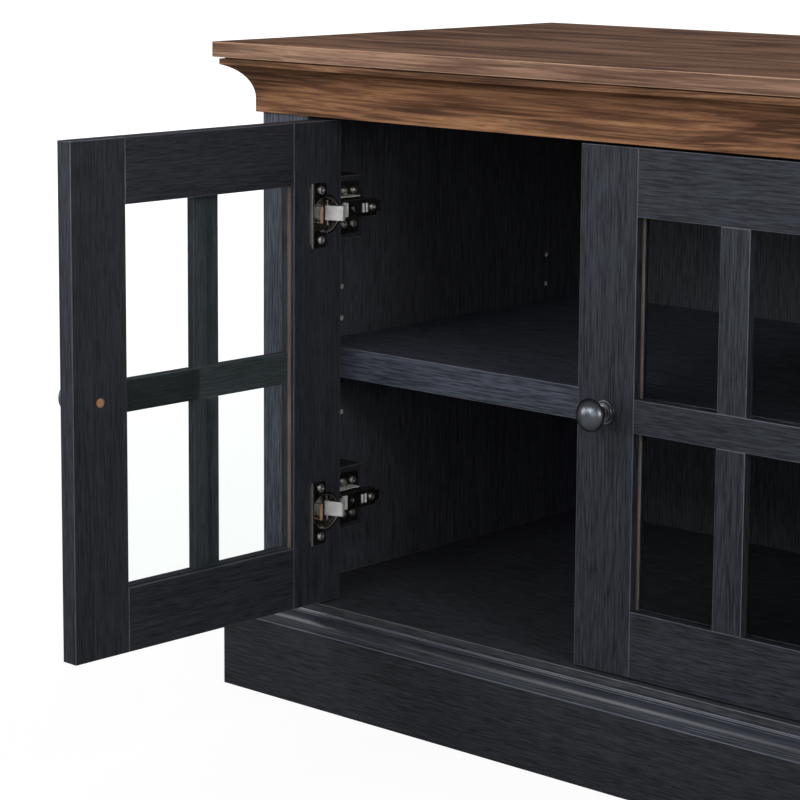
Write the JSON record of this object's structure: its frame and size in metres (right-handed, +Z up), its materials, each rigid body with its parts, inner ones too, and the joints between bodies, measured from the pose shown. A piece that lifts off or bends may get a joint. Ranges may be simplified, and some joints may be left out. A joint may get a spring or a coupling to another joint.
{
  "type": "media cabinet",
  "caption": "Low media cabinet with glazed inset doors on concealed hinges, a shelf in each bay, a walnut top with a coved crown and a black moulded base.",
  "frame": {"origin": "on the floor, under the middle of the body's width and depth", "axes": "+X along the width, towards the right-hand bay; +Y to the back panel; +Z up"},
  "size_m": [1.582, 0.7974, 0.641],
  "materials": {
    "black_woodgrain": "matte black laminate with a fine embossed grain",
    "satin_black": "smooth satin black foil over the moulding",
    "walnut": "satin walnut laminate with dark streaks",
    "hardboard": "thin black-faced fibreboard",
    "glass": "clear flat glass, slightly green at its edge",
    "nickel": "bright nickel plate",
    "gunmetal": "glossy gunmetal",
    "pin_steel": "plain bright steel"
  },
  "bodies": {
    "cabinet": {"top_board": "walnut", "crown_front": "walnut", "crown_returns": "walnut", "side_panel_left": "black_woodgrain", "side_panel_right": "black_woodgrain", "centre_partition": "black_woodgrain", "end_stiles": "black_woodgrain", "centre_stile": "black_woodgrain", "top_rails": "black_woodgrain", "bottom_board": "black_woodgrain", "back_panel": "hardboard", "shelf_left": "black_woodgrain", "shelf_right": "black_woodgrain", "shelf_pins": "pin_steel", "base_front": "black_woodgrain", "base_returns": "black_woodgrain", "moulding_front": "satin_black", "moulding_returns": "satin_black", "base_back_rail": "black_woodgrain", "centre_support": "black_woodgrain", "hinge_blocks": "black_woodgrain", "hinge_plates": "nickel", "hinge_arms": "nickel", "hinge_screws": "nickel"},
    "door1": {"door1_hinge_stile": "black_woodgrain", "door1_knob_stile": "black_woodgrain", "door1_rails": "black_woodgrain", "door1_muntins": "black_woodgrain", "door1_glass": "glass", "door1_knob": "gunmetal", "door1_hinge_cups": "nickel", "door1_screws": "nickel"},
    "link1": {"door1_hinge_links": "nickel"},
    "door2": {"door2_hinge_stile": "black_woodgrain", "door2_knob_stile": "black_woodgrain", "door2_rails": "black_woodgrain", "door2_muntins": "black_woodgrain", "door2_glass": "glass", "door2_knob": "gunmetal", "door2_hinge_cups": "nickel", "door2_screws": "nickel"},
    "link2": {"door2_hinge_links": "nickel"},
    "door3": {"door3_hinge_stile": "black_woodgrain", "door3_knob_stile": "black_woodgrain", "door3_rails": "black_woodgrain", "door3_muntins": "black_woodgrain", "door3_glass": "glass", "door3_knob": "gunmetal", "door3_hinge_cups": "nickel", "door3_screws": "nickel"},
    "link3": {"door3_hinge_links": "nickel"},
    "door4": {"door4_hinge_stile": "black_woodgrain", "door4_knob_stile": "black_woodgrain", "door4_rails": "black_woodgrain", "door4_muntins": "black_woodgrain", "door4_glass": "glass", "door4_knob": "gunmetal", "door4_hinge_cups": "nickel", "door4_screws": "nickel"},
    "link4": {"door4_hinge_links": "nickel"}
  },
  "joints": [
    {"name": "door1_link_turn", "type": "hinge", "parent": "cabinet", "child": "link1", "pos_m": [-0.6853, -0.2164, 0], "axis": [0, 0, 1], "range_deg": [-20.12, 0]},
    {"name": "door1_swing", "type": "hinge", "parent": "link1", "child": "door1", "pos_m": [-0.6788, -0.23329, 0], "axis": [0, 0, 1], "range_deg": [0, 112.1]},
    {"name": "door2_link_turn", "type": "hinge", "parent": "cabinet", "child": "link2", "pos_m": [-0.0407, -0.2164, 0], "axis": [0, 0, 1], "range_deg": [-19.89, 0]},
    {"name": "door2_swing", "type": "hinge", "parent": "link2", "child": "door2", "pos_m": [-0.041, -0.2345, 0], "axis": [0, 0, 1], "range_deg": [0, 110.8]},
    {"name": "door3_link_turn", "type": "hinge", "parent": "cabinet", "child": "link3", "pos_m": [0.0407, -0.2164, 0], "axis": [0, 0, 1], "range_deg": [0, 19.89]},
    {"name": "door3_swing", "type": "hinge", "parent": "link3", "child": "door3", "pos_m": [0.041, -0.2345, 0], "axis": [0, 0, 1], "range_deg": [-110.8, 0]},
    {"name": "door4_link_turn", "type": "hinge", "parent": "cabinet", "child": "link4", "pos_m": [0.6853, -0.2164, 0], "axis": [0, 0, 1], "range_deg": [-20.12, 0]},
    {"name": "door4_swing", "type": "hinge", "parent": "link4", "child": "door4", "pos_m": [0.685, -0.2345, 0], "axis": [0, 0, 1], "range_deg": [0, 112.1]}
  ],
  "couplings": [
    {"joint": "door1_link_turn", "follows": "door1_swing", "ratio": -0.1793},
    {"joint": "door2_link_turn", "follows": "door2_swing", "ratio": -0.1793},
    {"joint": "door3_link_turn", "follows": "door3_swing", "ratio": -0.1793},
    {"joint": "door4_link_turn", "follows": "door4_swing", "ratio": -0.1793}
  ]
}
